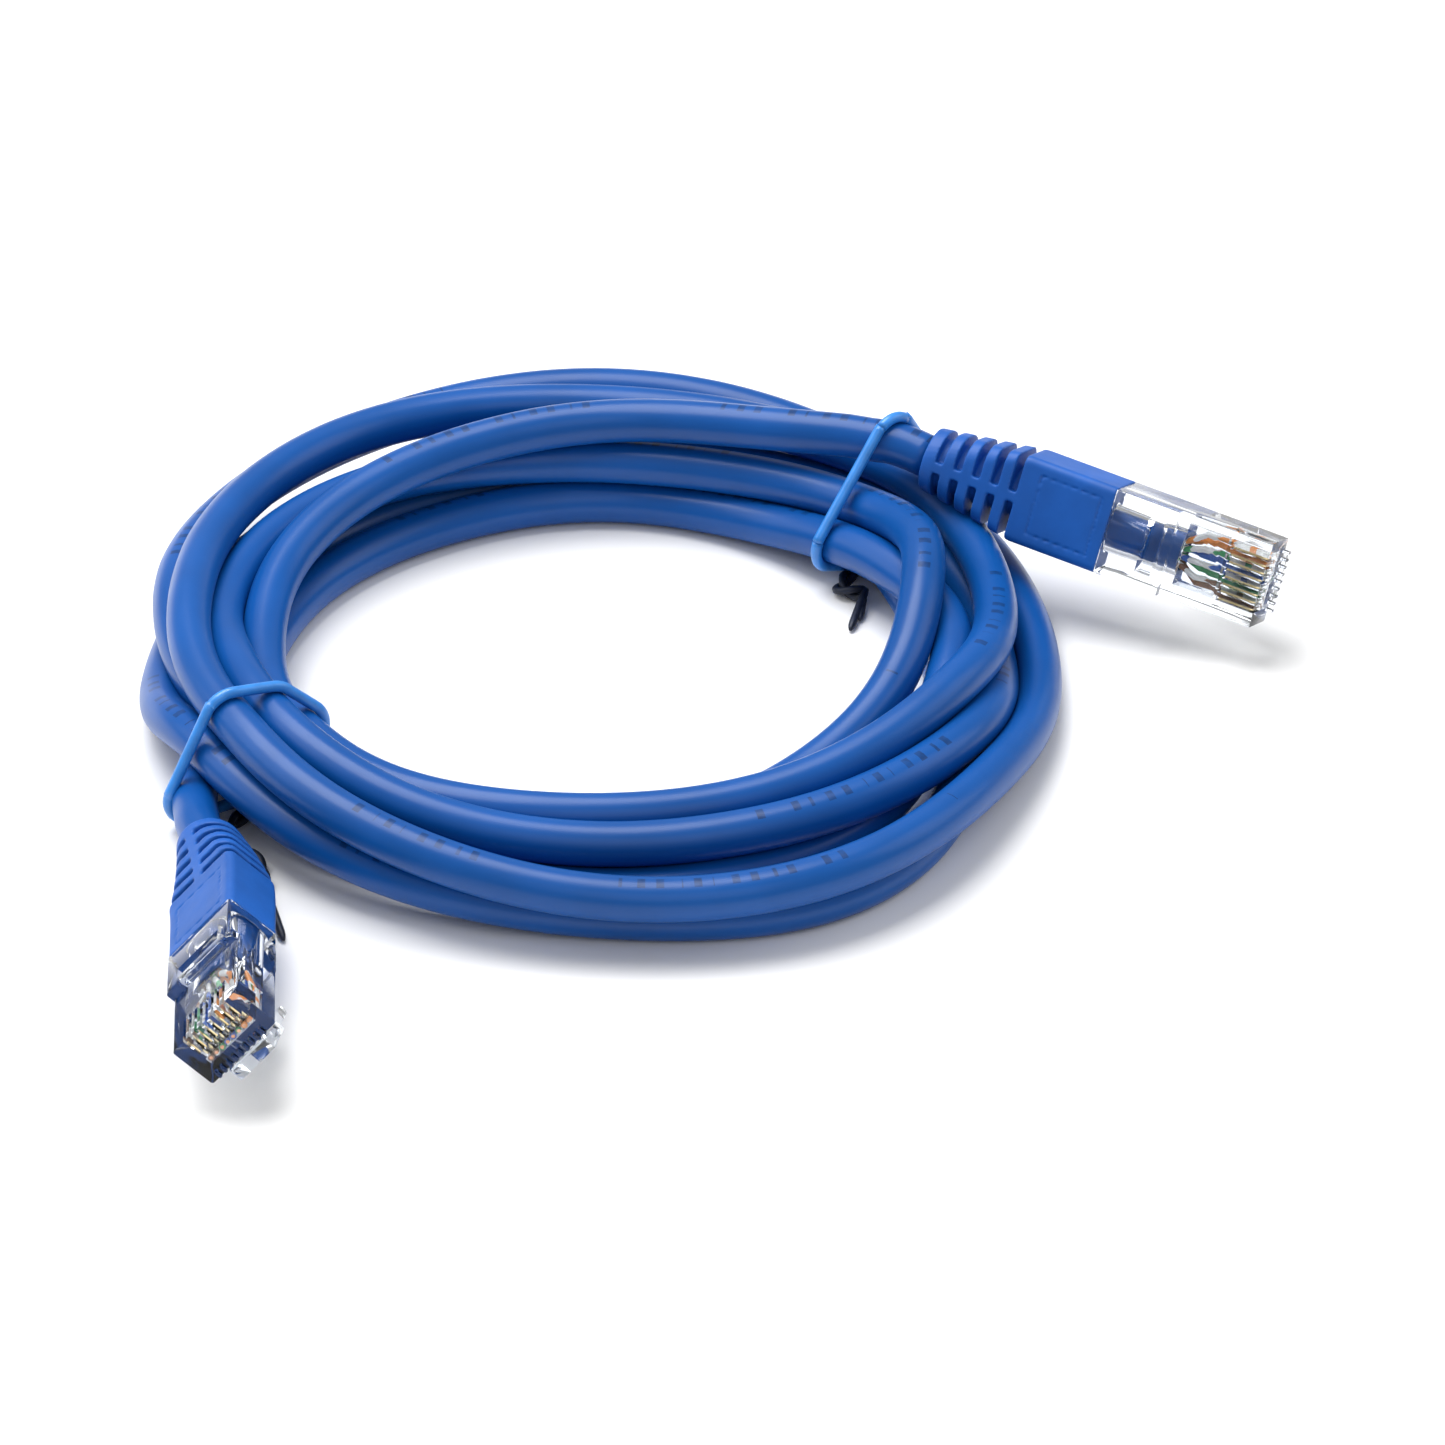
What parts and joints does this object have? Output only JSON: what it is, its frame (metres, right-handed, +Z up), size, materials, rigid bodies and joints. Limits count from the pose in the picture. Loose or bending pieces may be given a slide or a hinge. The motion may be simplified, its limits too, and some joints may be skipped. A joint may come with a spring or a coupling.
{
  "type": "ethernet patch cable",
  "caption": "Coiled round network patch cable held by twist ties, with a clear latching 8P8C modular plug and a slotted boot on each end.",
  "frame": {"origin": "on the surface that the coil lies on, under the middle of the whole object", "axes": "+Z up out of the flat coil; +X and +Y lie in the coil's plane; plug A lies on the coil towards +X +Y, plug B points towards -Y"},
  "size_m": [0.1523, 0.1579, 0.0223],
  "materials": {
    "cable_jacket": "semi-gloss soft PVC",
    "boot_pvc": "satin moulded soft PVC",
    "clear_plastic": "clear polished polycarbonate",
    "gold_contact": "gold plated phosphor bronze",
    "copper": "bare copper",
    "tie_plastic": "smooth light blue plastic",
    "tie_steel": "dull dark wire",
    "insulation_white_orange": "smooth polyethylene",
    "insulation_orange": "smooth polyethylene",
    "insulation_white_green": "smooth polyethylene",
    "insulation_blue": "smooth polyethylene",
    "insulation_white_blue": "smooth polyethylene",
    "insulation_green": "smooth polyethylene",
    "insulation_white_brown": "smooth polyethylene",
    "insulation_brown": "smooth polyethylene"
  },
  "bodies": {
    "root": {"cable_coil": "cable_jacket", "cable_tail_a": "cable_jacket", "cable_tail_b": "cable_jacket", "cable_end_a": "cable_jacket", "cable_end_b": "cable_jacket", "boot_a": "boot_pvc", "boot_b": "boot_pvc", "plug_a_housing": "clear_plastic", "plug_b_housing": "clear_plastic", "plug_a_contacts": "gold_contact", "plug_b_contacts": "gold_contact", "wire_a_white_orange": "insulation_white_orange", "wire_a_orange": "insulation_orange", "wire_a_white_green": "insulation_white_green", "wire_a_blue": "insulation_blue", "wire_a_white_blue": "insulation_white_blue", "wire_a_green": "insulation_green", "wire_a_white_brown": "insulation_white_brown", "wire_a_brown": "insulation_brown", "wire_b_white_orange": "insulation_white_orange", "wire_b_orange": "insulation_orange", "wire_b_white_green": "insulation_white_green", "wire_b_blue": "insulation_blue", "wire_b_white_blue": "insulation_white_blue", "wire_b_green": "insulation_green", "wire_b_white_brown": "insulation_white_brown", "wire_b_brown": "insulation_brown", "wire_cores_a": "copper", "wire_cores_b": "copper", "tie_a_sleeve": "tie_plastic", "tie_a_wire": "tie_steel", "tie_b_sleeve": "tie_plastic", "tie_b_wire": "tie_steel"},
    "plug_a_latch": {"plug_a_latch": "clear_plastic"},
    "plug_b_latch": {"plug_b_latch": "clear_plastic"}
  },
  "joints": [
    {"name": "plug_a_latch_press", "type": "hinge", "parent": "root", "child": "plug_a_latch", "pos_m": [0.07348, 0.03112, 0.00933], "axis": [0.2658, 0.2872, 0.9203], "range_deg": [0, 12], "stiffness_Nm_per_rad": 0.05},
    {"name": "plug_b_latch_press", "type": "hinge", "parent": "root", "child": "plug_b_latch", "pos_m": [-0.05681, -0.076, 0.00812], "axis": [0.6791, 0.0939, 0.728], "range_deg": [0, 12], "stiffness_Nm_per_rad": 0.05}
  ]
}
